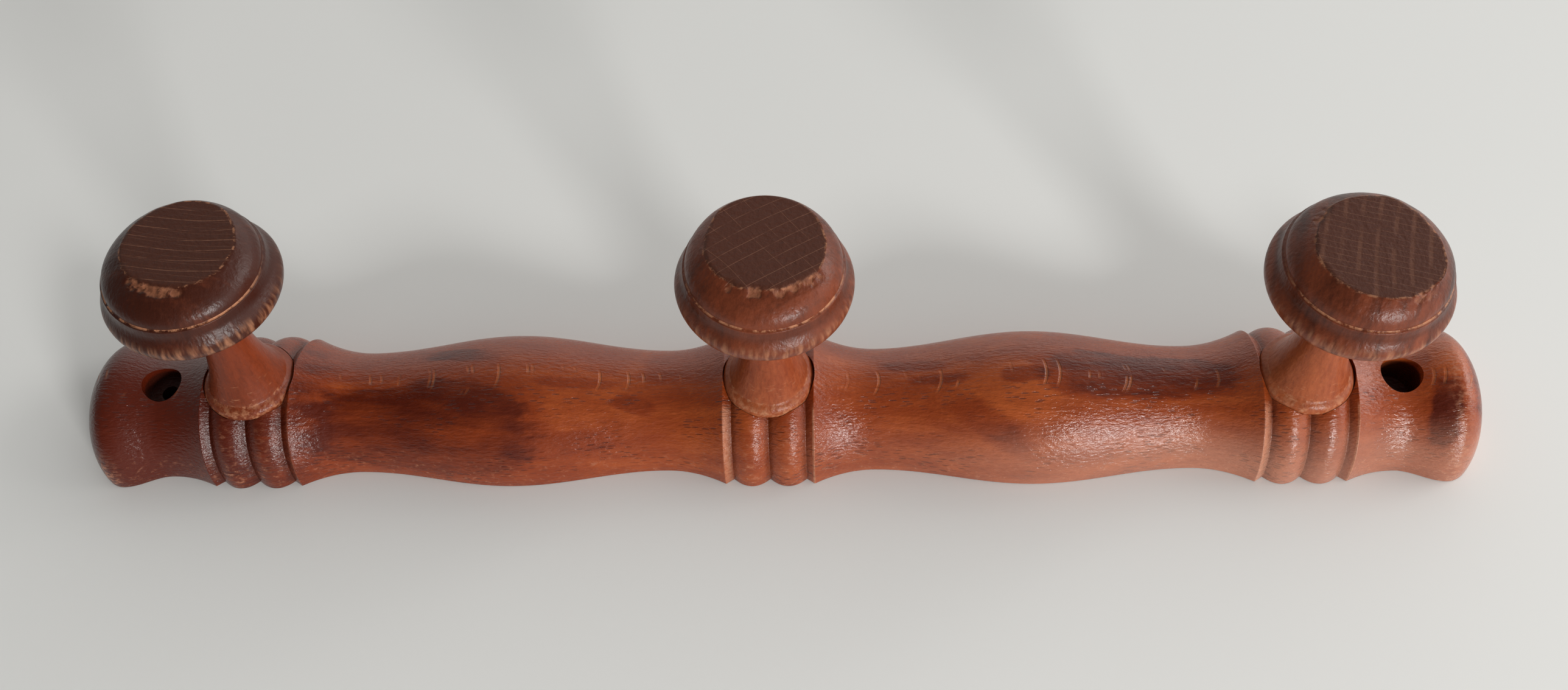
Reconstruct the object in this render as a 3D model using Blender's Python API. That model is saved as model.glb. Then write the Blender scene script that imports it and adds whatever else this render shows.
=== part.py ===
"""Turned wooden peg rail for mugs: a half-round rail, three mushroom pegs glued into it, two screw holes.

Metres, +Z up. The rail lies on its flat back. The origin is the middle of that back,
+X runs along the rail, and +Z points out of the back, along the pegs.
"""

import math

import bmesh
import bpy

# Overall sizes
RAIL_RADIUS = 0.0250  # radius of the beads, the widest turning on the rail
PEG_SPACING = 0.1560
PEG_PROJECTION = 0.0644  # from the underside of the foot to the flat top of the knob

# Depths of the rail's turning below the rail radius
BEAD_GROOVE_DEPTH = 0.0019
FILLET_DEPTH = 0.0008
COVE_DEPTH = 0.0054
BELLY_DEPTH = 0.0004
END_COVE_DEPTH = 0.0042
END_BEAD_DEPTH = 0.0006

# Runs of the rail's turning, along X
BEAD_WIDTH = 0.0109
FILLET_WIDTH = 0.0024
COVE_RUN = 0.0180  # from a fillet to the lowest place of the cove beside it
END_COVE_RUN = 0.0142
END_BEAD_RUN = 0.0148
END_ROUND_LENGTH = 0.0108
END_FLAT_RADIUS = 0.0040

# Peg seats
SEAT_DEPTH = 0.0043  # flat seat below the crest of the beads
TENON_RADIUS = 0.0075
SOCKET_DEPTH = 0.0145
SEAT_GAP = 0.0003
SEAT_SIDE_CLEARANCE = 0.0004
TENON_SIDE_CLEARANCE = 0.0003
TENON_END_CLEARANCE = 0.0008
TENON_CHAMFER = 0.0010

# The sockets were drilled by hand, so each peg leans a little: degrees towards +X, then towards -Y
PEG_LEANS = {"peg_left": (2.4, -2.4), "peg_middle": (1.8, -0.8), "peg_right": (0.3, 0.8)}

# Pegs: radii, and heights above the underside of the foot
FOOT_RADIUS = 0.0134
FOOT_RIM_HEIGHT = 0.0016
ANKLE_RADIUS = 0.0114
ANKLE_HEIGHT = 0.0042
NECK_RADIUS = 0.0067
NECK_BOTTOM_HEIGHT = 0.0265
NECK_TOP_HEIGHT = 0.0310
KNOB_UNDERSIDE_RADIUS = 0.0212
KNOB_UNDERSIDE_DEPTH = 0.0193  # below the flat top, as the next two
KNOB_RADIUS = 0.0240
KNOB_RING_DEPTH = 0.0149
KNOB_STEP_RADIUS = 0.0208
KNOB_STEP_DEPTH = 0.0074
KNOB_STEP_WIDTH = 0.0006
KNOB_STEP_HEIGHT = 0.0003
KNOB_FLAT_RADIUS = 0.0162

# Screw holes, one in the middle of each end cove
SCREW_HOLE_RADIUS = 0.0025
COUNTERBORE_RADIUS = 0.0060
LEFT_COUNTERBORE_DEPTH = 0.0055
RIGHT_COUNTERBORE_DEPTH = 0.0110

# How finely the round surfaces are divided
RAIL_SIDES = 20
PEG_SIDES = 28
HOLE_SIDES = 20
CUTTER_OVERRUN = 0.0040
SMOOTH_ANGLE = math.radians(28)

# Sizes that follow from the ones above
SEAT_HEIGHT = RAIL_RADIUS - SEAT_DEPTH
FILLET_PLACE = BEAD_WIDTH + FILLET_WIDTH
END_COVE_PLACE = PEG_SPACING + FILLET_PLACE + END_COVE_RUN
END_BEAD_PLACE = END_COVE_PLACE + END_BEAD_RUN
RAIL_HALF_LENGTH = END_BEAD_PLACE + END_ROUND_LENGTH
BELLY_PLACE = PEG_SPACING / 2
TENON_LENGTH = SOCKET_DEPTH + SEAT_GAP - TENON_END_CLEARANCE


def straight(share):
    return share, share


def s_curve(share):
    """Level at both ends."""
    return share, 0.5 - 0.5 * math.cos(math.pi * share)


def steep_then_level(share):
    return share, 1 - (1 - share) ** 2


def level_then_steep(share):
    return share, share**2


def quarter_round_on(share):
    """A quarter ellipse that starts square to the axis and ends level."""
    angle = share * math.pi / 2
    return 1 - math.cos(angle), math.sin(angle)


def quarter_round_off(share):
    """A quarter ellipse that starts level and ends square to the axis."""
    angle = share * math.pi / 2
    return math.sin(angle), 1 - math.cos(angle)


def outline(start, stretches):
    """Points (place, radius) through stretches that each give (place, radius, curve, steps)."""
    points = [start]
    for place, radius, curve, steps in stretches:
        from_place, from_radius = points[-1]
        for step in range(1, steps + 1):
            along, across = curve(step / steps)
            new_place = from_place + (place - from_place) * along
            new_radius = from_radius + (radius - from_radius) * across
            points.append((new_place, new_radius))
    return points


def rail_outline():
    groove = RAIL_RADIUS - BEAD_GROOVE_DEPTH
    fillet = RAIL_RADIUS - FILLET_DEPTH
    end_bead = RAIL_RADIUS - END_BEAD_DEPTH
    end_cove = RAIL_RADIUS - END_COVE_DEPTH
    cove = RAIL_RADIUS - COVE_DEPTH
    belly = RAIL_RADIUS - BELLY_DEPTH

    def peg_group(centre):
        return [
            (centre - BEAD_WIDTH, groove, straight, 1),
            (centre - BEAD_WIDTH / 2, RAIL_RADIUS, steep_then_level, 3),
            (centre, groove, level_then_steep, 3),
            (centre + BEAD_WIDTH / 2, RAIL_RADIUS, steep_then_level, 3),
            (centre + BEAD_WIDTH, groove, level_then_steep, 3),
            (centre + FILLET_PLACE, fillet, straight, 1),
        ]

    def between_pegs(left, right):
        return [
            (left + FILLET_PLACE + COVE_RUN, cove, steep_then_level, 5),
            (left + BELLY_PLACE, belly, s_curve, 7),
            (right - FILLET_PLACE - COVE_RUN, cove, s_curve, 7),
            (right - FILLET_PLACE, fillet, level_then_steep, 5),
        ]

    return outline(
        (-RAIL_HALF_LENGTH, END_FLAT_RADIUS),
        [
            (-END_BEAD_PLACE, end_bead, quarter_round_on, 7),
            (-END_COVE_PLACE, end_cove, s_curve, 6),
            (-PEG_SPACING - FILLET_PLACE, fillet, level_then_steep, 5),
            *peg_group(-PEG_SPACING),
            *between_pegs(-PEG_SPACING, 0),
            *peg_group(0),
            *between_pegs(0, PEG_SPACING),
            *peg_group(PEG_SPACING),
            (END_COVE_PLACE, end_cove, steep_then_level, 5),
            (END_BEAD_PLACE, end_bead, s_curve, 6),
            (RAIL_HALF_LENGTH, END_FLAT_RADIUS, quarter_round_off, 7),
        ],
    )


def peg_outline():
    """From the end of the tenon to the edge of the knob's flat top."""
    top = PEG_PROJECTION
    step_bottom = top - KNOB_STEP_DEPTH - KNOB_STEP_HEIGHT
    return outline(
        (-TENON_LENGTH, TENON_RADIUS - TENON_CHAMFER),
        [
            (-TENON_LENGTH + TENON_CHAMFER, TENON_RADIUS, straight, 1),
            (0, TENON_RADIUS, straight, 1),
            (0, FOOT_RADIUS, straight, 1),
            (FOOT_RIM_HEIGHT, FOOT_RADIUS, straight, 1),
            (ANKLE_HEIGHT, ANKLE_RADIUS, level_then_steep, 3),
            (NECK_BOTTOM_HEIGHT, NECK_RADIUS, steep_then_level, 5),
            (NECK_TOP_HEIGHT, NECK_RADIUS, straight, 1),
            (top - KNOB_UNDERSIDE_DEPTH, KNOB_UNDERSIDE_RADIUS, level_then_steep, 5),
            (top - KNOB_RING_DEPTH, KNOB_RADIUS, quarter_round_on, 3),
            (step_bottom, KNOB_STEP_RADIUS + KNOB_STEP_WIDTH, level_then_steep, 4),
            (top - KNOB_STEP_DEPTH, KNOB_STEP_RADIUS, straight, 1),
            (top, KNOB_FLAT_RADIUS, level_then_steep, 5),
        ],
    )


def stepped_outline(floor, inner_radius, ledge, outer_radius, mouth):
    """A round hole with a wider mouth, from its floor to clear of the rail."""
    return [(floor, inner_radius), (ledge, inner_radius), (ledge, outer_radius), (mouth, outer_radius)]


def finish_mesh(shape, name):
    bmesh.ops.recalc_face_normals(shape, faces=shape.faces)
    mesh = bpy.data.meshes.new(name)
    shape.to_mesh(mesh)
    shape.free()
    mesh.shade_smooth()
    mesh.set_sharp_from_angle(angle=SMOOTH_ANGLE)
    return mesh


def turned_mesh(name, points, sides):
    """A full turn about Z of points (height, radius), with a flat at each end."""
    shape = bmesh.new()
    rings = []
    for height, radius in points:
        ring = []
        for side in range(sides):
            angle = 2 * math.pi * side / sides
            ring.append(shape.verts.new((radius * math.cos(angle), radius * math.sin(angle), height)))
        rings.append(ring)
    for lower, upper in zip(rings, rings[1:]):
        for side in range(sides):
            after = (side + 1) % sides
            shape.faces.new((lower[side], lower[after], upper[after], upper[side]))
    shape.faces.new(list(reversed(rings[0])))
    shape.faces.new(rings[-1])
    return finish_mesh(shape, name)


def half_turned_mesh(name, points, sides):
    """A half turn about X of points (place, radius), with a flat back at Z = 0 and a flat at each end."""
    shape = bmesh.new()
    arches = []
    for place, radius in points:
        arch = []
        for side in range(sides + 1):
            angle = math.pi * side / sides
            height = radius * math.sin(angle) if 0 < side < sides else 0
            arch.append(shape.verts.new((place, radius * math.cos(angle), height)))
        arches.append(arch)
    for left, right in zip(arches, arches[1:]):
        for side in range(sides):
            shape.faces.new((left[side], right[side], right[side + 1], left[side + 1]))
        shape.faces.new((left[-1], right[-1], right[0], left[0]))
    shape.faces.new(arches[0])
    shape.faces.new(list(reversed(arches[-1])))
    return finish_mesh(shape, name)


def wood(name, colour, roughness):
    material = bpy.data.materials.new(name)
    material.use_nodes = True
    shader = material.node_tree.nodes["Principled BSDF"]
    shader.inputs["Base Color"].default_value = (*colour, 1)
    shader.inputs["Roughness"].default_value = roughness
    shader.inputs["Metallic"].default_value = 0
    return material


def place_object(name, mesh, location, parent):
    piece = bpy.data.objects.new(name, mesh)
    bpy.context.scene.collection.objects.link(piece)
    piece.location = location
    piece.parent = parent
    return piece


def place_seats(parent):
    """An empty at the middle of each peg's flat seat, leaning as the peg does."""
    seats = {}
    for name, place in (("peg_left", -PEG_SPACING), ("peg_middle", 0), ("peg_right", PEG_SPACING)):
        seat = place_object("seat_of_" + name, None, (place, 0, SEAT_HEIGHT), parent)
        lean_right, lean_forward = PEG_LEANS[name]
        seat.rotation_euler = (math.radians(lean_forward), math.radians(lean_right), 0)
        seats[name] = seat
    return seats


def cut(piece, name, points, location, parent):
    """Cut a turned hole into a piece, along the parent's Z."""
    cutter = place_object(name, turned_mesh(name, points, HOLE_SIDES), location, parent)
    cutter.hide_render = True
    cutter.display_type = "WIRE"
    boolean = piece.modifiers.new(name, "BOOLEAN")
    boolean.operation = "DIFFERENCE"
    boolean.solver = "EXACT"
    boolean.object = cutter


def make_rail(parent, seats):
    rail = place_object("rail", half_turned_mesh("rail", rail_outline(), RAIL_SIDES), (0, 0, 0), parent)
    rail.data.materials.append(wood("rail_beech", (0.29, 0.075, 0.028), 0.35))
    for name, seat in seats.items():
        socket = stepped_outline(
            -SOCKET_DEPTH,
            TENON_RADIUS + TENON_SIDE_CLEARANCE,
            0,
            FOOT_RADIUS + SEAT_SIDE_CLEARANCE,
            SEAT_DEPTH + CUTTER_OVERRUN,
        )
        cut(rail, "socket_of_" + name, socket, (0, 0, 0), seat)
    cove_height = RAIL_RADIUS - END_COVE_DEPTH
    for name, place, depth in (
        ("screw_hole_left", -END_COVE_PLACE, LEFT_COUNTERBORE_DEPTH),
        ("screw_hole_right", END_COVE_PLACE, RIGHT_COUNTERBORE_DEPTH),
    ):
        screw_hole = stepped_outline(
            -CUTTER_OVERRUN,
            SCREW_HOLE_RADIUS,
            cove_height - depth,
            COUNTERBORE_RADIUS,
            RAIL_RADIUS + CUTTER_OVERRUN,
        )
        cut(rail, name, screw_hole, (place, 0, 0), parent)


def make_pegs(seats):
    for name, seat in seats.items():
        peg = place_object(name, turned_mesh(name, peg_outline(), PEG_SIDES), (0, 0, SEAT_GAP), seat)
        peg.data.materials.append(wood(name + "_beech", (0.14, 0.038, 0.02), 0.32))


for old in list(bpy.data.objects):
    bpy.data.objects.remove(old, do_unlink=True)

rack = place_object("mug_rack", None, (0, 0, 0), None)
peg_seats = place_seats(rack)
make_rail(rack, peg_seats)
make_pegs(peg_seats)
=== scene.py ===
"""A turned beech rail with three mushroom pegs for mugs, stained and varnished, lying on its flat back."""

import math

import bmesh
import bpy
import numpy as np
from mathutils import Euler, Matrix, Vector, noise


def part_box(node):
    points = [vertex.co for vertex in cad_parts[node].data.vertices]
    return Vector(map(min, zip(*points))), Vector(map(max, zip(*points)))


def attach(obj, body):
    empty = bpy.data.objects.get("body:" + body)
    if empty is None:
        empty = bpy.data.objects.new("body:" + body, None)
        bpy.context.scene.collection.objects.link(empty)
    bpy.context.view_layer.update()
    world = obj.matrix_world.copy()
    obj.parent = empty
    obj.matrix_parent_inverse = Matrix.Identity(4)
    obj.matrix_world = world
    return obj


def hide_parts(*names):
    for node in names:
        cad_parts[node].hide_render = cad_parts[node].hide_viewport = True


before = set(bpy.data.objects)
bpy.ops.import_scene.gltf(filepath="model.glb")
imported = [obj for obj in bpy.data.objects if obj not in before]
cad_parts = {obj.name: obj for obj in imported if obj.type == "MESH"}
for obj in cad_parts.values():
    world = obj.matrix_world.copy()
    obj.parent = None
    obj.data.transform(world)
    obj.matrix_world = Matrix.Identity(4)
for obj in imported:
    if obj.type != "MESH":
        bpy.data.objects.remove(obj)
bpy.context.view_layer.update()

# ---------------------------------------------------------------------------
# Camera: stands in front of the rail and above it, turned a little to the right.

camera_target = Vector((0.00318, 0.02484, 0.0))
camera_distance = 0.4342
camera_turn = math.radians(5.01)
camera_climb = math.radians(57.74)
camera_tilt = math.radians(-4.77)
field_width_over_distance = 1.15

toward_camera = Vector(
    (
        math.sin(camera_turn) * math.cos(camera_climb),
        -math.cos(camera_turn) * math.cos(camera_climb),
        math.sin(camera_climb),
    )
)
level_right = Vector((math.cos(camera_turn), math.sin(camera_turn), 0))
level_up = toward_camera.cross(level_right)
view_right = level_right * math.cos(camera_tilt) + level_up * math.sin(camera_tilt)
view_up = level_up * math.cos(camera_tilt) - level_right * math.sin(camera_tilt)

camera_data = bpy.data.cameras.new("camera")
camera_data.sensor_width = 36
camera_data.lens = camera_data.sensor_width / field_width_over_distance
camera_data.clip_start = 0.01
camera = bpy.data.objects.new("camera", camera_data)
bpy.context.scene.collection.objects.link(camera)
camera.matrix_world = Matrix.Translation(camera_target + toward_camera * camera_distance) @ Matrix(
    (view_right, view_up, toward_camera)
).transposed().to_4x4()
bpy.context.scene.camera = camera

# ---------------------------------------------------------------------------
# Light: a window in front and to the right, soft daylight from everywhere else.

bpy.context.scene.view_settings.view_transform = "Standard"


class Wire:
    """One output of a node. Sums on it add Math nodes to its tree."""

    def __init__(self, nodes, socket):
        self.nodes = nodes
        self.socket = socket

    def sum(self, operation, *others):
        return self.nodes.math(operation, self, *others)

    def __add__(self, other):
        return self.sum("ADD", other)

    __radd__ = __add__

    def __sub__(self, other):
        return self.sum("SUBTRACT", other)

    def __rsub__(self, other):
        return self.nodes.math("SUBTRACT", other, self)

    def __mul__(self, other):
        return self.sum("MULTIPLY", other)

    __rmul__ = __mul__

    def __truediv__(self, other):
        return self.sum("DIVIDE", other)

    def __pow__(self, other):
        return self.sum("POWER", other)

    def __abs__(self):
        return self.sum("ABSOLUTE")


class Nodes:
    """A node tree, with one method that adds any node."""

    def __init__(self, tree):
        self.tree = tree

    def add(self, kind, settings=None, values=None, output=0):
        node = self.tree.nodes.new(kind)
        for setting, value in (settings or {}).items():
            setattr(node, setting, value)
        for place, value in (values or {}).items():
            if isinstance(value, Wire):
                self.tree.links.new(value.socket, node.inputs[place])
            else:
                node.inputs[place].default_value = value
        return Wire(self, node.outputs[output])

    def math(self, operation, *terms):
        return self.add("ShaderNodeMath", {"operation": operation}, dict(enumerate(terms)))

    def vector(self, operation, *terms):
        return self.add("ShaderNodeVectorMath", {"operation": operation}, dict(enumerate(terms)))

    def split(self, vector):
        node = self.add("ShaderNodeSeparateXYZ", None, {0: vector}).socket.node
        return [Wire(self, output) for output in node.outputs]

    def join(self, x, y, z):
        return self.add("ShaderNodeCombineXYZ", None, {0: x, 1: y, 2: z})

    def step(self, value, low, high):
        """0 below low, 1 above high, smooth between; high may be the lower one."""
        settings = {"interpolation_type": "SMOOTHSTEP"}
        values = {"Value": value, "From Min": min(low, high), "From Max": max(low, high)}
        rise = self.add("ShaderNodeMapRange", settings, values)
        return rise if low < high else 1 - rise

    def mix(self, share, first, second):
        """Colours only."""
        settings = {"data_type": "RGBA", "clamp_factor": True}
        return self.add("ShaderNodeMix", settings, {0: share, 6: first, 7: second}, output=2)

    def cloud(self, place, stretch, detail=2.0, roughness=0.5, seed=0.0):
        """Soft noise about 0.5; stretch is how many swells there are to a millimetre along each axis."""
        scaled = self.vector("MULTIPLY", place, stretch)
        values = {"Vector": scaled, "W": seed, "Scale": 1.0, "Detail": detail, "Roughness": roughness}
        return self.add("ShaderNodeTexNoise", {"noise_dimensions": "4D"}, values)


sky = bpy.data.worlds.new("soft_daylight")
sky.use_nodes = True
sky.node_tree.nodes.clear()
sky_nodes = Nodes(sky.node_tree)
direction = sky_nodes.add("ShaderNodeTexCoord")
_, _, climb = sky_nodes.split(direction)
# Brighter from the right and the rear than from the left and the front, dimmer overhead than near the horizon
to_the_right = {"operation": "DOT_PRODUCT"}
rightward = sky_nodes.add("ShaderNodeVectorMath", to_the_right, {0: direction, 1: (0.85, 0.52, 0)}, output=1)
values = {"Value": rightward, "From Min": -0.8, "From Max": 0.9, "To Min": 0.15, "To Max": 1.85}
from_right = sky_nodes.add("ShaderNodeMapRange", None, values)
values = {"Value": climb, "From Min": 0.30, "From Max": 0.85, "To Min": 1.0, "To Max": 0.20}
from_side = sky_nodes.add("ShaderNodeMapRange", None, values)
values = {"Color": (1.0, 0.995, 0.965, 1), "Strength": from_right * from_side}
sky_light = sky_nodes.add("ShaderNodeBackground", None, values)
sky_end = sky.node_tree.nodes.new("ShaderNodeOutputWorld")
sky.node_tree.links.new(sky_light.socket, sky_end.inputs["Surface"])
bpy.context.scene.world = sky


def window(name, place, aim, width, height, watts, colour):
    """A soft rectangle of daylight, in metres and watts, turned to face aim."""
    light = bpy.data.lights.new(name, "AREA")
    light.shape = "RECTANGLE"
    light.size = width
    light.size_y = height
    light.energy = watts
    light.color = colour
    lamp = bpy.data.objects.new(name, light)
    bpy.context.scene.collection.objects.link(lamp)
    lamp.location = place
    lamp.rotation_euler = (Vector(aim) - Vector(place)).to_track_quat("-Z", "Y").to_euler()


daylight = (1.0, 0.995, 0.98)
window("front_window", (0.78, -1.32, 0.50), (0.05, 0, 0.02), 0.40, 0.24, 17, daylight)
window("right_window", (1.5, 0.35, 0.70), (0, 0, 0), 0.9, 0.6, 7, daylight)

# ---------------------------------------------------------------------------
# Rail: one length of beech, turned between centres, split to a half round, drilled for pegs and screws.
# It is stained reddish brown and varnished. Its coves, bellies and beads are cut with a gouge, and the
# sharp fillets beside each peg with a skew chisel.

MM = 0.001
rail_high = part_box("rail")[1]
rail_radius = rail_high.y / MM
rail_half_length = rail_high.x / MM

peg_spacing = 156.0
bead_width = 10.9
fillet_width = 2.4
fillet_place = bead_width + fillet_width
cove_run = 18.0
end_cove_place = peg_spacing + fillet_place + 14.2
end_bead_place = end_cove_place + 14.8
end_flat_radius = 4.0
groove_radius = rail_radius - 2.4
fillet_radius = rail_radius - 0.8
cove_radius = rail_radius - 5.4
belly_radius = rail_radius - 0.4
end_cove_radius = rail_radius - 4.2
end_bead_radius = rail_radius - 0.6

seat_height = rail_radius - 4.3
seat_radius = 13.55
socket_radius = 7.8
socket_depth = 14.5
seat_cutter_reach = 9
screw_hole_radius = 2.5
counterbore_radius = 6.0
hole_overrun = 4
rail_sides = 104
cutter_sides = 96
sharp_corner = math.radians(38)
# Depth by the side of the rail, left and then right
counterbore_depths = {-1: 5.5, 1: 11.0}
# Lean of each peg in degrees, to +X and then to -Y
peg_leans = {"peg_left": (2.4, -2.4), "peg_middle": (1.8, -0.8), "peg_right": (0.3, 0.8)}
peg_places = {"peg_left": -peg_spacing, "peg_middle": 0.0, "peg_right": peg_spacing}


seam_reach = 0.002


def lathe_tree():
    """
    Turns an outline, a chain of points at (radius, 0, height), about Z, uneven as hand turning is.
    A half turn with a flat back keeps its two long edges straight.
    """
    tree = bpy.data.node_groups.new("lathe", "GeometryNodeTree")
    face = tree.interface
    face.new_socket("Geometry", in_out="OUTPUT", socket_type="NodeSocketGeometry")
    for name, kind in (
        ("Outline", "NodeSocketGeometry"),
        ("Sides", "NodeSocketInt"),
        ("Turn", "NodeSocketFloat"),
        ("Flat Back", "NodeSocketBool"),
        ("Unevenness", "NodeSocketFloat"),
        ("Swells", "NodeSocketFloat"),
        ("Seed", "NodeSocketFloat"),
        ("Wood", "NodeSocketMaterial"),
    ):
        face.new_socket(name, in_out="INPUT", socket_type=kind)
    nodes = Nodes(tree)
    group_start = nodes.add("NodeGroupInput").socket.node
    given = [Wire(nodes, socket) for socket in group_start.outputs[:8]]
    outline, sides, turn, flat_back, unevenness, swells, seed, wood = given

    count = nodes.add("GeometryNodeAttributeDomainSize", {"component": "MESH"}, {0: outline})
    index = nodes.add("GeometryNodeInputIndex")
    place = nodes.add("GeometryNodeInputPosition")

    columns = sides + 1
    row = nodes.math("FLOOR", index / columns)
    settings = {"data_type": "FLOAT_VECTOR", "domain": "POINT"}
    values = {"Geometry": outline, "Value": place, "Index": row}
    sample = nodes.add("GeometryNodeSampleIndex", settings, values)
    radius, _, height = nodes.split(sample)
    angle = (index - row * columns) / sides * turn
    sine = nodes.math("SINE", angle)
    cosine = nodes.math("COSINE", angle)
    even_place = nodes.join(radius * cosine, radius * sine, height)
    values = {"Vector": even_place, "W": seed, "Scale": swells, "Detail": 2.0}
    swell = nodes.add("ShaderNodeTexNoise", {"noise_dimensions": "4D"}, values)
    # The unevenness dies away at the centre line, and at the long edges of a flat back
    fade = nodes.math("MINIMUM", radius / (2 * MM), 1.0)
    keep_back = nodes.add("GeometryNodeSwitch", {"input_type": "FLOAT"}, {0: flat_back, 1: 1.0, 2: sine})
    hand_radius = radius + (swell - 0.5) * unevenness * fade * keep_back
    hand_place = nodes.join(hand_radius * cosine, hand_radius * sine, height)
    sheet = nodes.add("GeometryNodeMeshGrid", None, {"Vertices X": count, "Vertices Y": columns})
    skin = nodes.add("GeometryNodeSetPosition", None, {"Geometry": sheet, "Position": hand_place})

    merged = nodes.add("GeometryNodeMergeByDistance", None, {0: skin, "Distance": seam_reach * MM})
    realized = nodes.add("GeometryNodeRealizeInstances", None, {0: merged})
    painted = nodes.add("GeometryNodeSetMaterial", None, {0: realized, "Material": wood})
    end = tree.nodes.new("NodeGroupOutput")
    tree.links.new(painted.socket, end.inputs[0])
    return tree


lathe = lathe_tree()
swells_per_metre = 45.0


def turn_on_lathe(
    name, points, sides, wood=None, turn=2 * math.pi, flat_back=False, unevenness=0.0, seed=0.0
):
    """A closed mesh turned from points (height, radius) in millimetres."""
    outline = bpy.data.meshes.new(name + "_outline")
    chain = [(radius * MM, 0, height * MM) for height, radius in points]
    outline.from_pydata(chain, [(i, i + 1) for i in range(len(chain) - 1)], [])
    blank = bpy.data.objects.new(name + "_outline", outline)
    bpy.context.scene.collection.objects.link(blank)
    modifier = blank.modifiers.new("lathe", "NODES")
    modifier.node_group = lathe
    inputs = {
        "Sides": sides,
        "Turn": turn,
        "Flat Back": flat_back,
        "Unevenness": unevenness * MM,
        "Swells": swells_per_metre,
        "Seed": seed,
        "Wood": wood,
    }
    for socket in lathe.interface.items_tree:
        if socket.name in inputs and inputs[socket.name] is not None:
            modifier[socket.identifier] = inputs[socket.name]
    bpy.context.view_layer.update()
    turned = bpy.data.meshes.new_from_object(blank.evaluated_get(bpy.context.evaluated_depsgraph_get()))
    turned.name = name
    bpy.data.objects.remove(blank)
    shape = bmesh.new()
    shape.from_mesh(turned)
    if flat_back:
        bmesh.ops.holes_fill(shape, edges=[edge for edge in shape.edges if edge.is_boundary], sides=0)
    bmesh.ops.recalc_face_normals(shape, faces=shape.faces)
    if shape.calc_volume(signed=True) < 0:
        bmesh.ops.reverse_faces(shape, faces=shape.faces)
    shape.to_mesh(turned)
    shape.free()
    return turned


curves = {  # share along the stretch -> (share along, share across)
    "straight": lambda t: (t, t),
    "s_curve": lambda t: (t, 0.5 - 0.5 * math.cos(math.pi * t)),
    "steep_then_level": lambda t: (t, 1 - (1 - t) ** 2),
    "level_then_steep": lambda t: (t, t**2),
    "round_on": lambda t: (1 - math.cos(t * math.pi / 2), math.sin(t * math.pi / 2)),
    "round_off": lambda t: (math.sin(t * math.pi / 2), 1 - math.cos(t * math.pi / 2)),
}


def outline_of(start, stretches, steps=60):
    """Points (place, radius) through stretches of (place, radius, curve)."""
    points = [start]
    for place, radius, curve in stretches:
        from_place, from_radius = points[-1]
        for step in range(1, steps + 1):
            along, across = curves[curve](step / steps)
            next_place = from_place + (place - from_place) * along
            next_radius = from_radius + (radius - from_radius) * across
            points.append((next_place, next_radius))
    return points


def sanded(points, reach, spacing, turn_degrees):
    """Rounds an outline's corners over reach, then keeps a point each spacing and each turn of its line."""
    corners = np.array(points)
    lengths = np.hypot(*np.diff(corners, axis=0).T)
    travelled = np.concatenate([[0], np.cumsum(lengths)])
    fine = 0.05
    stations = np.arange(0, travelled[-1], fine)
    line = np.stack([np.interp(stations, travelled, corners[:, k]) for k in (0, 1)], axis=1)
    width = max(3, int(reach / fine) | 1)
    weights = np.hanning(width + 2)[1:-1]
    weights /= weights.sum()
    before = 2 * line[:1] - line[1 : width // 2 + 1][::-1]
    after = 2 * line[-1:] - line[-width // 2 : -1][::-1]
    padded = np.concatenate([before, line, after])
    smooth = np.stack([np.convolve(padded[:, k], weights, "valid") for k in (0, 1)], axis=1)
    smooth[0] = corners[0]
    smooth[-1] = corners[-1]
    heading = np.unwrap(np.arctan2(*np.diff(smooth, axis=0).T[::-1]))
    cost = fine / spacing + np.abs(np.diff(heading, append=heading[-1])) / math.radians(turn_degrees)
    spent = np.concatenate([[0], np.cumsum(cost)])
    kept = np.searchsorted(spent, np.linspace(0, spent[-1], int(spent[-1]) + 2))
    kept = np.unique(np.clip(kept, 0, len(smooth) - 1))
    return [tuple(point) for point in smooth[kept]]


def rail_outline():
    def peg_group(centre):
        return [
            (centre - bead_width, groove_radius, "straight"),
            (centre - bead_width / 2, rail_radius, "steep_then_level"),
            (centre, groove_radius, "level_then_steep"),
            (centre + bead_width / 2, rail_radius, "steep_then_level"),
            (centre + bead_width, groove_radius, "level_then_steep"),
            (centre + fillet_place, fillet_radius, "straight"),
        ]

    def between_pegs(left, right):
        return [
            (left + fillet_place + cove_run, cove_radius, "steep_then_level"),
            ((left + right) / 2, belly_radius, "s_curve"),
            (right - fillet_place - cove_run, cove_radius, "s_curve"),
            (right - fillet_place, fillet_radius, "level_then_steep"),
        ]

    return outline_of(
        (-rail_half_length, 0.0),
        [
            (-rail_half_length, end_flat_radius, "straight"),
            (-end_bead_place, end_bead_radius, "round_on"),
            (-end_cove_place, end_cove_radius, "s_curve"),
            (-peg_spacing - fillet_place, fillet_radius, "level_then_steep"),
            *peg_group(-peg_spacing),
            *between_pegs(-peg_spacing, 0),
            *peg_group(0),
            *between_pegs(0, peg_spacing),
            *peg_group(peg_spacing),
            (end_cove_place, end_cove_radius, "steep_then_level"),
            (end_bead_place, end_bead_radius, "s_curve"),
            (rail_half_length, end_flat_radius, "round_off"),
            (rail_half_length, 0.0, "straight"),
        ],
    )


def tint(red, green, blue):
    """A colour by its eight-bit screen values, as shader light."""
    shares = [value / 255 for value in (red, green, blue)]
    light = [((share + 0.055) / 1.055) ** 2.4 if share > 0.04 else share / 12.92 for share in shares]
    return (*light, 1.0)


def new_wood(name):
    material = bpy.data.materials.new(name)
    material.use_nodes = True
    material.node_tree.nodes.clear()
    return material, Nodes(material.node_tree)


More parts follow.
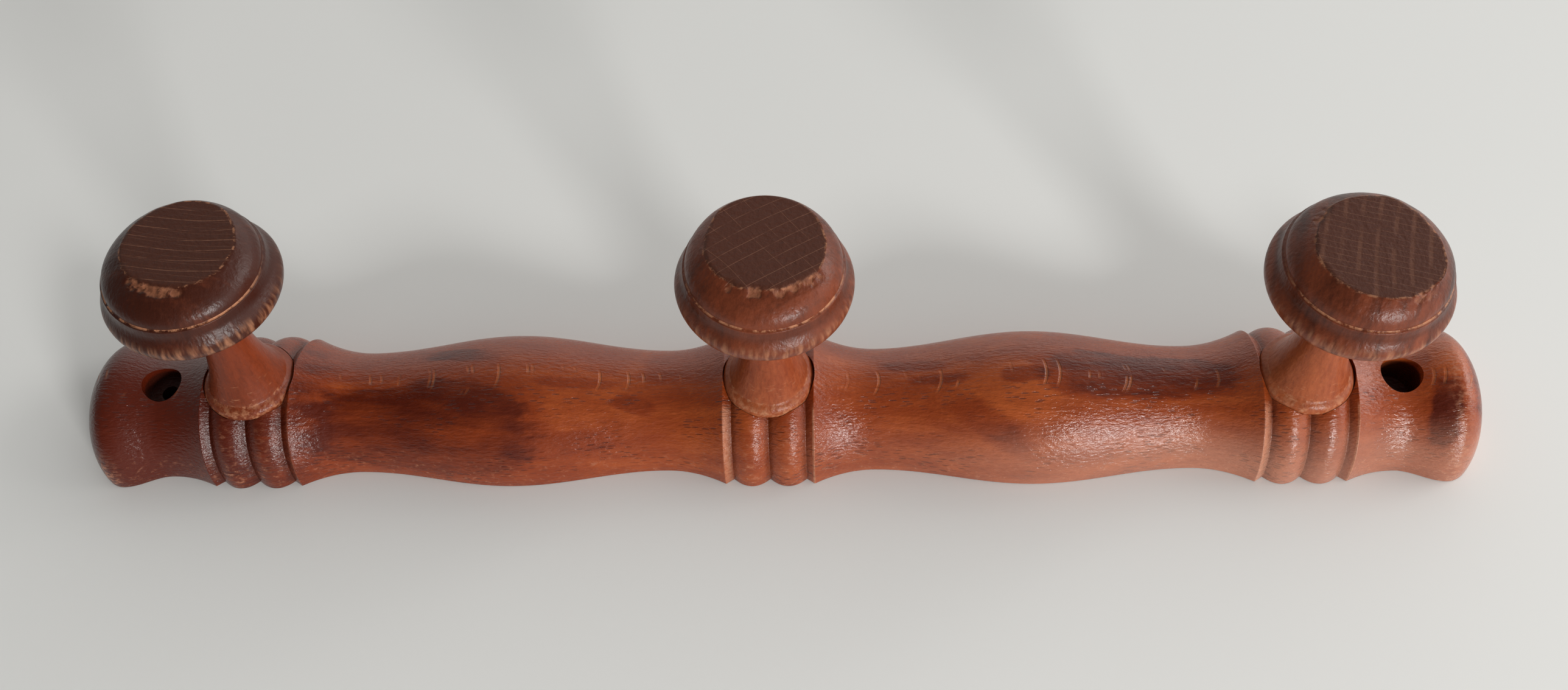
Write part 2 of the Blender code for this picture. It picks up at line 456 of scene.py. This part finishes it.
def varnish(nodes, colour, roughness, height, bump_distance, gloss):
    """Stained wood under an old satin varnish, whose ripples and pores break its highlights."""
    bump = nodes.add("ShaderNodeBump", None, {"Strength": 1.0, "Distance": bump_distance, "Height": height})
    values = {
        "Base Color": colour,
        "Roughness": roughness,
        "Normal": bump,
        "Specular IOR Level": gloss,
    }
    shader = nodes.add("ShaderNodeBsdfPrincipled", None, values)
    end = nodes.tree.nodes.new("ShaderNodeOutputMaterial")
    nodes.tree.links.new(shader.socket, end.inputs["Surface"])


def rail_wood():
    material, nodes = new_wood("rail_beech")
    place = nodes.add("ShaderNodeTexCoord", output=3)
    place = nodes.vector("MULTIPLY", place, (1 / MM, 1 / MM, 1 / MM))
    x, y, z = nodes.split(place)

    # Where the place is on the turning: distance along from the nearest peg, and round from the crest line
    nearest_peg = nodes.math("ROUND", x / peg_spacing) * peg_spacing
    from_peg = abs(x - nearest_peg)
    round_rail = nodes.math("ARCTAN2", y, z) * (rail_radius - 1)
    skin = nodes.join(x, round_rail, 0.0)
    low_front = nodes.step(round_rail, -21, -33)
    crest = nodes.step(abs(round_rail + 1), 6.0, 2.5)
    between = nodes.step(from_peg, fillet_place + 4, fillet_place + 16)

    # Stain: broad patches, finer streaks along the grain, and dark blots with soft ragged edges
    patches = nodes.cloud(skin, (0.022, 0.05, 1), 3.0, 0.5, 3.0)
    mottle = nodes.cloud(skin, (0.07, 0.20, 1), 3.0, 0.55, 15.0)
    streaks = nodes.cloud(place, (0.035, 1.0, 1.0), 3.0, 0.6, 1.0)
    ragged = nodes.cloud(skin, (0.10, 0.28, 1), 4.0, 0.62, 6.0) - 0.5
    tone = 0.46 + (patches - 0.5) * 0.55 + (mottle - 0.5) * 0.65 + (streaks - 0.5) * 0.34
    tone = tone + nodes.step(x, -150, 20) * 0.16

    def blot(centre, half_length, half_width, lean=0.0, edge=0.25, wander=0.9):
        """A rounded patch, 1 inside: centre (along, round), sizes in millimetres, lean in radians."""
        dx = x - centre[0]
        dy = round_rail - centre[1]
        along = (dx * math.cos(lean) + dy * math.sin(lean)) / half_length
        across = (dy * math.cos(lean) - dx * math.sin(lean)) / half_width
        reach = (abs(along) ** 3 + abs(across) ** 3) ** (1 / 3)
        return nodes.step(reach + ragged * wander, 1 + edge, 1 - edge)

    darkness = sum(blot(*each[1:]) * each[0] for each in rail_blots)
    tone = nodes.math("MINIMUM", nodes.math("MAXIMUM", tone - darkness, 0.0), 1.0)
    colour = nodes.mix(nodes.step(tone, 0.02, 0.48), tint(84, 26, 10), tint(134, 54, 20))
    colour = nodes.mix(nodes.step(tone, 0.42, 1.0), colour, tint(174, 84, 38))

    # Ray flecks: short dark dashes along the grain
    dash_place = nodes.vector("MULTIPLY", skin, (0.17, 0.95, 0.0))
    settings = {"voronoi_dimensions": "2D", "feature": "F1"}
    values = {"Vector": dash_place, "Scale": 1.0, "Randomness": 1.0}
    dash = nodes.add("ShaderNodeTexVoronoi", settings, values)
    fleck_patch = nodes.step(nodes.cloud(skin, (0.05, 0.09, 1), 2.0, 0.5, 9.0), 0.44, 0.62)
    flecks = nodes.step(dash, 0.24, 0.12) * fleck_patch * nodes.step(round_rail, 2, -8)
    colour = nodes.mix(flecks * 0.62, colour, tint(70, 24, 15))

    # Wear: varnish rubbed through on the fillets' edges, the tops of the beads, the low front and the left
    # end. Painted light among these pale marks: the right-facing flank of each peg's left fillet is painted
    # pale as if lit, and a painted highlight lies on the right end bead
    grit = nodes.cloud(place, (0.5, 0.8, 0.8), 4.0, 0.65, 2.0)
    on_left = nodes.step(x - nearest_peg, 1, -1)
    fillet_wear_and_lit_flank = nodes.step(abs(from_peg - fillet_place + 0.15), 0.45, 0.15) * (1 - on_left * 0.5)
    # Painted light: the right-facing flank of each left fillet, painted pale as if lit from the right
    painted_lit_fillet_flank = on_left * nodes.step(abs(from_peg - fillet_place + 1.0), 1.5, 0.7)
    fillet_wear_and_lit_flank = nodes.math("MAXIMUM", fillet_wear_and_lit_flank, painted_lit_fillet_flank)
    fillet_wear_and_lit_flank = fillet_wear_and_lit_flank * nodes.step(round_rail, -9, -12) * nodes.step(x, -180, -20)
    bead_top = nodes.step(abs(from_peg - bead_width / 2), 3.0, 0.4)
    pale_marks = fillet_wear_and_lit_flank * (0.35 + nodes.step(grit, 0.30, 0.60) * 0.40)
    pale_marks = pale_marks + bead_top * nodes.step(round_rail, -8, -20) * nodes.step(grit, 0.48, 0.72) * 0.35
    pale_marks = pale_marks + low_front * nodes.step(grit, 0.52, 0.74) * 0.45
    # Painted highlight: a pale band on the right end bead
    end_bead = nodes.step(abs(abs(x) - end_bead_place), 4.5, 0.5)
    pale_marks = pale_marks + end_bead * nodes.step(x, 0, 1) * nodes.step(grit, 0.44, 0.66) * 0.45
    pale_marks = pale_marks + nodes.step(x, -196, -202) * low_front * nodes.step(grit, 0.42, 0.60) * 0.8
    colour = nodes.mix(nodes.math("MINIMUM", pale_marks, 1.0), colour, tint(188, 124, 92))

    # Knocks along the crest: pale crescents across the rail
    bent = (x + round_rail * round_rail * 0.045) * 0.17
    settings = {"voronoi_dimensions": "1D", "feature": "F1"}
    values = {"W": bent, "Scale": 1.0, "Randomness": 1.0}
    knock = nodes.add("ShaderNodeTexVoronoi", settings, values)
    worn_spot = nodes.cloud(skin, (0.055, 0.12, 1), 2.0, 0.5, 18.0)
    knocks = nodes.step(knock, 0.10, 0.03) * nodes.step(worn_spot, 0.46, 0.58) * crest * between
    colour = nodes.mix(knocks * 0.34, colour, tint(200, 120, 72))

    # The grooves are made darker
    groove = nodes.step(abs(from_peg - bead_width), 2.0, 0.2) + nodes.step(from_peg, 2.0, 0.2)
    colour = nodes.mix(groove * 0.42, colour, tint(52, 20, 13))

    # Painted sheen: the right half's front is painted pale where the front window's highlight falls. Painted
    # shade: the screw holes are painted dark inside
    painted_sheen = nodes.step(x, -20, 150) * nodes.step(round_rail, -12, -30) * (0.5 + (patches - 0.5) * 0.8)
    colour = nodes.mix(painted_sheen * 0.78, colour, tint(200, 152, 130))
    # Painted shade inside the counterbores
    from_hole = ((abs(x) - end_cove_place) ** 2 + y * y) ** 0.5
    painted_hole_shade = nodes.step(from_hole, counterbore_radius + 0.4, counterbore_radius + 0.1)
    painted_hole_shade = painted_hole_shade * nodes.step((y * y + z * z) ** 0.5, end_cove_radius - 0.5, end_cove_radius - 2.0)
    colour = nodes.mix(painted_hole_shade * 0.85, colour, tint(44, 17, 10))

    # Fine fibres darken the colour, and ripples in the varnish break the highlights
    ripple = nodes.cloud(place, (0.40, 1.3, 1.3), 3.0, 0.6, 4.0)
    fibres = nodes.cloud(place, (0.30, 4.5, 4.5), 2.0, 0.6, 12.0)
    colour = nodes.mix(nodes.step(fibres, 0.40, 0.75) * 0.22, colour, tint(70, 26, 16))
    height = ripple * 1.7 + streaks * 0.25 + flecks * -0.5 + knocks * -0.8 + grit * 0.45 + fibres * 0.10
    roughness = 0.19 + (grit - 0.5) * 0.30 + pale_marks * 0.15 + (mottle - 0.5) * 0.15
    varnish(nodes, colour, roughness, height, 0.00019, 0.38)
    return material


# Blots in the stain, dark where the depth is above 0 and pale where it is below: depth, centre along and
# round the rail, half length and half width in millimetres, lean in radians, softness of the edge, raggedness
rail_blots = [
    (0.28, (-103, -17), 34, 17, 0.0, 0.12, 0.6),
    (0.14, (-86, -8), 18, 5.0, -0.35, 0.3, 0.9),
    (0.22, (-57, -2), 12, 1.8),
    (0.30, (-40, -9), 6, 3.0, -0.3),
    (0.30, (-94, 9.5), 12, 3.0, -0.2),
    (0.24, (-62, -22), 16, 4.0, 0.1),
    (0.16, (-25, 6), 12, 14, 0.0),
    (0.42, (108, 0.5), 29, 8.5, 0.0, 0.15, 0.7),
    (0.42, (75, -1), 6.5, 2.6),
    (0.40, (65, -16), 12, 4.5, -0.6, 0.4, 1.2),
    (0.30, (43, 5.5), 10, 2.4, -0.1),
    (0.28, (50, -1), 8, 1.8),
    (0.50, (194, -13), 4.0, 11, -0.15),
    (0.34, (206, -4), 3.5, 13, 0.0),
    (-0.20, (197, 4), 5, 8, 0.0),
    (0.52, (-190, -6), 28, 44, 0.0, 0.5),
    (0.26, (-150, -14), 16, 30, 0.0, 0.4),
    (-0.22, (70, -7), 15, 9, 0.3),
    (-0.13, (-64, -8), 26, 14, 0.2, 0.4, 1.2),
    (-0.26, (-121, -0.5), 12, 1.8),
]


def place_mesh(name, mesh):
    piece = bpy.data.objects.new(name, mesh)
    bpy.context.scene.collection.objects.link(piece)
    return piece


def seat_frame(name):
    """Stands at the middle of a peg's seat and leans as its socket was drilled."""
    lean_right, lean_forward = peg_leans[name]
    lean = Euler((math.radians(lean_forward), math.radians(lean_right), 0)).to_matrix().to_4x4()
    return Matrix.Translation((peg_places[name] * MM, 0, seat_height * MM)) @ lean


rail_stain = rail_wood()
rail_mesh = turn_on_lathe(
    "rail_beech",
    sanded(rail_outline(), 0.7, 1.1, 5),
    rail_sides,
    wood=rail_stain,
    turn=math.pi,
    flat_back=True,
    unevenness=0.35,
    seed=2.0,
)
along_x = Matrix(((0, 0, 1, 0), (-1, 0, 0, 0), (0, 1, 0, 0), (0, 0, 0, 1)))
rail_mesh.transform(along_x)
# That laying down mirrors the mesh, so its faces are turned outward again
rail_mesh.flip_normals()
rail = place_mesh("turned_rail", rail_mesh)

drills = bmesh.new()
for name in peg_places:
    socket = turn_on_lathe(
        "socket",
        [
            (-socket_depth, 0),
            (-socket_depth, socket_radius),
            (0, socket_radius),
            (0, seat_radius),
            (seat_cutter_reach, seat_radius),
            (seat_cutter_reach, 0),
        ],
        cutter_sides,
        wood=rail_stain,
    )
    socket.transform(seat_frame(name))
    drills.from_mesh(socket)
for side, depth in counterbore_depths.items():
    ledge = end_cove_radius - depth
    hole = turn_on_lathe(
        "screw_hole",
        [
            (-hole_overrun, 0),
            (-hole_overrun, screw_hole_radius),
            (ledge - 0.4, screw_hole_radius),
            (ledge, counterbore_radius - 0.3),
            (rail_radius + hole_overrun, counterbore_radius),
            (rail_radius + hole_overrun, 0),
        ],
        cutter_sides,
        wood=rail_stain,
    )
    hole.transform(Matrix.Translation((side * end_cove_place * MM, 0, 0)))
    drills.from_mesh(hole)
drill_mesh = bpy.data.meshes.new("drills")
drills.to_mesh(drill_mesh)
drill_mesh.materials.append(rail_stain)
drills.free()
drill = place_mesh("drills", drill_mesh)
bore = rail.modifiers.new("bore", "BOOLEAN")
bore.operation = "DIFFERENCE"
bore.solver = "MANIFOLD"
bore.object = drill
bpy.context.view_layer.update()
bored = bpy.data.meshes.new_from_object(rail.evaluated_get(bpy.context.evaluated_depsgraph_get()))
rail.modifiers.remove(bore)
rail.data = bored
bpy.data.objects.remove(drill)
bored.name = "turned_rail"
bored.shade_smooth()
bored.set_sharp_from_angle(angle=sharp_corner)
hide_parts("rail")
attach(rail, "root")

# ---------------------------------------------------------------------------
# Pegs: each is one piece of beech from knob to tenon, turned along the grain and glued in its socket.
# The knobs are handled the most: their flat tops are scratched, and their edges are chipped and worn pale.

peg_height = 64.4
tenon_radius = 7.5
tenon_length = 14.0
tenon_bevel = 1.0
foot_radius = 13.4
foot_rim = 1.3
ankle_shoulder = (3.4, 11.9)
ankle_height = 3.9
ankle_radius = 11.4
shank_start = 26.5
shank_end = 31.0
shank_radius = 6.7
ring_place = peg_height - 14.9
ring_radius = 24.0
ring_underside = (ring_place - 4.4, 21.2)
step_height = peg_height - 7.4
hollow_radius = 21.7
step_radius = 21.5
shoulder_radius = 20.8
flat_edge_radius = 16.9
flat_radius_full = 16.2
seat_gap = 0.3
peg_sides = 168


def peg_outline():
    return outline_of(
        (-tenon_length, 0.0),
        [
            (-tenon_length, tenon_radius - tenon_bevel, "straight"),
            (-tenon_length + tenon_bevel, tenon_radius, "straight"),
            (0, tenon_radius, "straight"),
            (0, foot_radius, "straight"),
            (foot_rim, foot_radius, "straight"),
            (*ankle_shoulder, "level_then_steep"),
            (ankle_height, ankle_radius, "straight"),
            (shank_start, shank_radius, "steep_then_level"),
            (shank_end, shank_radius, "straight"),
            (*ring_underside, "level_then_steep"),
            (ring_place, ring_radius, "round_on"),
            (step_height - 2.2, hollow_radius, "s_curve"),
            (step_height - 0.5, step_radius, "straight"),
            (step_height - 0.1, shoulder_radius, "straight"),
            (peg_height - 0.2, flat_edge_radius, "level_then_steep"),
            (peg_height, flat_radius_full, "straight"),
            (peg_height, 0.0, "straight"),
        ],
    )


def peg_wood(name, to_peg, seed, light):
    """The wood of one peg; light lifts or lowers how pale its stain is."""
    material, nodes = new_wood(name)
    place = nodes.add("ShaderNodeTexCoord", output=3)
    shift, turn, _ = to_peg.decompose()
    values = {"Vector": place, "Location": shift, "Rotation": turn.to_euler(), "Scale": (1, 1, 1)}
    place = nodes.add("ShaderNodeMapping", {"vector_type": "POINT"}, values)
    place = nodes.vector("MULTIPLY", place, (1 / MM, 1 / MM, 1 / MM))
    x, y, z = nodes.split(place)
    radius = (x * x + y * y) ** 0.5
    angle = nodes.math("ARCTAN2", x, y * -1)
    knob = nodes.step(z, 33, 44)
    past_edge = nodes.add("ShaderNodeAttribute", {"attribute_name": "past_edge"}, output=2)
    on_flat = nodes.step(past_edge, 0.35, -0.05)

    patches = nodes.cloud(place, (0.05, 0.05, 0.025), 2.0, 0.5, seed)
    streaks = nodes.cloud(place, (0.9, 0.9, 0.04), 3.0, 0.6, seed + 1)
    grit = nodes.cloud(place, (0.5, 0.5, 0.5), 4.0, 0.65, seed + 2)
    tone = 0.55 + (patches - 0.5) * 0.7 + (streaks - 0.5) * 0.4 + light
    grain_direction = peg_marks[name][0][0]
    across_grain = x * math.sin(grain_direction) * -1 + y * math.cos(grain_direction)
    rings = nodes.cloud(nodes.join(across_grain, z * 0.06, 0.0), (0.30, 1, 1), 2.0, 0.6, seed + 7)
    tone = tone - knob * 0.36 + (rings - 0.5) * knob * peg_ring_contrast[name]
    tone = nodes.math("MINIMUM", nodes.math("MAXIMUM", tone, 0.0), 1.0)
    colour = nodes.mix(nodes.step(tone, 0.0, 0.50), tint(58, 21, 11), tint(122, 52, 26))
    colour = nodes.mix(nodes.step(tone, 0.45, 1.0), colour, tint(174, 94, 56))

    knob_colour = nodes.mix(tone, tint(62, 30, 19), tint(150, 86, 60))
    colour = nodes.mix(knob * 0.45, colour, knob_colour)

    # The end grain of the flat top drank more stain, and has fine pale saw lines and scratches
    end_grain = nodes.cloud(place, (0.7, 0.7, 0.7), 5.0, 0.7, seed + 3)
    pale_grain = tint(84 + 50 * light, 44 + 34 * light, 29 + 30 * light)
    flat_colour = nodes.mix(end_grain, tint(64, 29, 17), pale_grain)
    colour = nodes.mix(on_flat, colour, flat_colour)

    def scratches(direction, spacing, strength, bend, seed_shift, width=0.16):
        """Thin parallel lines, broken up along their length."""
        across = x * math.sin(direction) * -1 + y * math.cos(direction)
        along = x * math.cos(direction) + y * math.sin(direction)
        wander = (nodes.cloud(place, (0.03, 0.03, 0.03), 1.0, 0.5, seed + seed_shift) - 0.5) * spacing
        row = (across + along * along * bend + wander) / spacing
        distance = abs(row - nodes.math("ROUND", row)) * spacing
        on_row = nodes.join(along, nodes.math("ROUND", row) * 7.3, 0.0)
        broken = nodes.cloud(on_row, (0.10, 1, 1), 3.0, 0.6, seed_shift)
        return nodes.step(distance, width, width / 4) * nodes.step(broken, 0.36, 0.56) * strength

    marks = sum(scratches(*mark) for mark in peg_marks[name])
    marks = nodes.math("MINIMUM", marks, 1.0) * nodes.step(past_edge, 1.0, 0.2)
    colour = nodes.mix(marks, colour, tint(158, 108, 82))

    # Edges rubbed through: the step of the knob, the rim under it, the ring and the foot
    # Painted shade: the hollow between the ring and the step of the knob is painted darker
    front = nodes.step(y, 4, -14)
    hollow = nodes.step(z, ring_place + 2.3, ring_place + 4.5)
    hollow = hollow * nodes.step(z, step_height - 0.3, step_height - 1.2)
    colour = nodes.mix(hollow * 0.40, colour, tint(44, 18, 12))
    step_line = nodes.step(abs(z - (step_height - 0.15)), 0.28, 0.08)
    step_line = step_line * nodes.step(radius, shoulder_radius - 1.3, shoulder_radius - 0.4)
    pale_marks = step_line * nodes.step(grit, 0.42, 0.56) * (0.05 + front * 0.75)
    flat_edge = nodes.step(abs(past_edge - 0.15), 0.45, 0.10) * nodes.step(grit, 0.47, 0.60)
    pale_marks = pale_marks + flat_edge * 0.55
    spokes = nodes.cloud(nodes.join(angle * 24, z * 0.12, 0.0), (0.55, 1, 1), 2.0, 0.55, seed + 4)
    ring = nodes.step(z, ring_place - 3.9, ring_place - 1.9)
    ring = ring * nodes.step(z, ring_place + 2.9, ring_place + 0.1)
    pale_marks = pale_marks + ring * nodes.step(spokes, 0.42, 0.66) * (0.10 + front * 0.40)
    scuffs = nodes.cloud(place, (0.35, 0.35, 1.6), 2.0, 0.5, seed + 6)
    pale_marks = pale_marks + nodes.step(z, 16, 8) * nodes.step(scuffs, 0.60, 0.70) * front * 0.40
    foot = nodes.step(z, 5.5, 1.5) * front
    pale_marks = pale_marks + foot * nodes.step(grit, 0.44, 0.64) * 0.65
    ankle_line = nodes.step(abs(z - ankle_height), 0.40, 0.1)
    pale_marks = pale_marks + ankle_line * nodes.step(grit, 0.50, 0.62) * 0.40
    colour = nodes.mix(nodes.math("MINIMUM", pale_marks, 1.0), colour, tint(188, 130, 96))
    chipped = nodes.add("ShaderNodeAttribute", {"attribute_name": "chipped"}, output=2)
    bare = nodes.step(chipped + (grit - 0.5) * 0.9, 0.20, 0.65)
    colour = nodes.mix(bare * (0.45 + nodes.step(end_grain, 0.40, 0.65) * 0.45), colour, tint(152, 96, 68))

    ripple = nodes.cloud(place, (0.9, 0.9, 0.35), 2.0, 0.5, seed + 5)
    colour = nodes.mix(nodes.step(end_grain, 0.45, 0.80) * 0.30, colour, tint(46, 18, 11))
    height = ripple * 0.9 + streaks * 0.3 + grit * 0.6 + marks * -0.5 + bare * -0.8 + end_grain * 0.2
    roughness = 0.32 + (grit - 0.5) * 0.30 + on_flat * 0.26 + bare * 0.25 + pale_marks * 0.12
    varnish(nodes, colour, roughness, height, 0.00018, 0.23)
    return material


# How pale the stain of each peg came out, and how strongly the growth rings show on each knob
peg_light = {"peg_left": -0.18, "peg_middle": 0.13, "peg_right": 0.12}
peg_ring_contrast = {"peg_left": 0.5, "peg_middle": 0.6, "peg_right": 1.3}
# Scratches on each flat: direction in radians, spacing in millimetres, strength, bend, a seed, and width
peg_marks = {
    "peg_left": [(-0.06, 3.4, 0.60, -0.006, 11.0, 0.12), (-0.10, 2.1, 0.20, -0.004, 12.0, 0.09)],
    "peg_middle": [(0.60, 4.0, 0.50, 0.002, 13.0, 0.11), (-0.85, 5.9, 0.30, 0.0, 14.0, 0.11)],
    "peg_right": [(1.30, 4.3, 0.16, 0.002, 15.0, 0.8), (-0.28, 1.7, 0.40, 0.0, 16.0, 0.09)],
}
# How each flat was sanded by hand: tilt towards +X and -Y in degrees, cut below full height,
# shift of its outline to +X and -Y, its radius, and how far the outline wanders
flats = {
    "peg_left": (-1.2, 0.6, 0.25, 1.0, -1.8, 14.6, 0.8),
    "peg_middle": (-0.8, 1.4, 0.25, 0.4, -2.0, 15.6, 0.9),
    "peg_right": (-1.0, -1.0, 0.30, 0.6, 0.2, 15.6, 0.9),
}
# Where the edge of each flat is chipped: direction round the knob from -Y and half width, both in radians,
# and depth in millimetres
chip_places = {
    "peg_left": [(-0.30, 0.50, 0.9), (0.25, 0.20, 0.6)],
    "peg_middle": [(-0.15, 0.16, 0.8), (0.62, 0.55, 0.5), (-0.62, 0.08, 0.5)],
    "peg_right": [(0.55, 0.30, 0.35), (-2.2, 0.25, 0.4)],
}


def work_knob(mesh, name):
    """Sands the flat, with its wandering outline, and breaks chips out of its edge."""
    tilt_x, tilt_y, cut, shift_x, shift_y, flat_radius, wander = flats[name]
    chipped = mesh.attributes.new("chipped", "FLOAT", "POINT")
    past_edge = mesh.attributes.new("past_edge", "FLOAT", "POINT")
    for vertex, mark, past in zip(mesh.vertices, chipped.data, past_edge.data):
        past.value = 9.0
        x, y, z = vertex.co / MM
        radius = math.hypot(x, y)
        if z < step_height + 0.2:
            continue
        around = math.atan2(x, -y)
        direction = Vector((math.cos(around), math.sin(around), tilt_x)) * 1.3
        edge = flat_radius + shift_x * math.sin(around) + shift_y * math.cos(around)
        edge += wander * noise.noise(direction) + 0.35 * wander * noise.noise(direction * 3.1)
        if radius > edge:
            share = max(0.0, (shoulder_radius - radius) / (shoulder_radius - edge))
            z = min(z, step_height + (peg_height - cut - step_height) * share**0.5)
        slope_x = math.tan(math.radians(tilt_x))
        slope_y = math.tan(math.radians(tilt_y))
        z = min(z, peg_height - cut + slope_x * x - slope_y * y)
        past.value = radius - edge
        rough = noise.noise(Vector((x, y, z)) * 0.55) + 0.5 * noise.noise(Vector((x, y, z)) * 1.7)
        depth = 0.0
        for chip, half_width, deepest in chip_places[name]:
            near = max(0.0, 1 - ((around - chip) / half_width) ** 2)
            edge_share = max(0.0, 1 - ((radius - edge - 0.9) / 1.8) ** 2)
            depth = max(depth, near**0.5 * edge_share * deepest * max(0.0, 0.7 + rough))
        mark.value = min(1.0, depth * 1.5)
        vertex.co = Vector((x, y, z - depth)) * MM


for number, name in enumerate(peg_places):
    stand = seat_frame(name) @ Matrix.Translation((0, 0, seat_gap * MM))
    wood = peg_wood(name, stand.inverted(), 20.0 + 7 * number, peg_light[name])
    outline = sanded(peg_outline(), 0.6, 0.7, 5)
    peg_mesh = turn_on_lathe(
        name + "_turned", outline, peg_sides, wood=wood, unevenness=0.4, seed=5.0 + number
    )
    work_knob(peg_mesh, name)
    peg_mesh.transform(stand)
    peg_mesh.shade_smooth()
    peg_mesh.set_sharp_from_angle(angle=sharp_corner)
    peg = place_mesh("turned_" + name, peg_mesh)
    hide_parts(name)
    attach(peg, "root")

# ---------------------------------------------------------------------------
# Table: a plain pale top, not part of the object.

table_mesh = bpy.data.meshes.new("table")
table_reach = 15
table_height = -0.0002
table_mesh.from_pydata(
    [
        (-table_reach, -table_reach, table_height),
        (table_reach, -table_reach, table_height),
        (table_reach, table_reach, table_height),
        (-table_reach, table_reach, table_height),
    ],
    [],
    [(0, 1, 2, 3)],
)
table = place_mesh("table", table_mesh)
table_finish = bpy.data.materials.new("pale_table")
table_finish.use_nodes = True
table_shader = table_finish.node_tree.nodes["Principled BSDF"]
table_shader.inputs["Base Color"].default_value = (0.86, 0.86, 0.845, 1)
table_shader.inputs["Roughness"].default_value = 0.75
table_mesh.materials.append(table_finish)
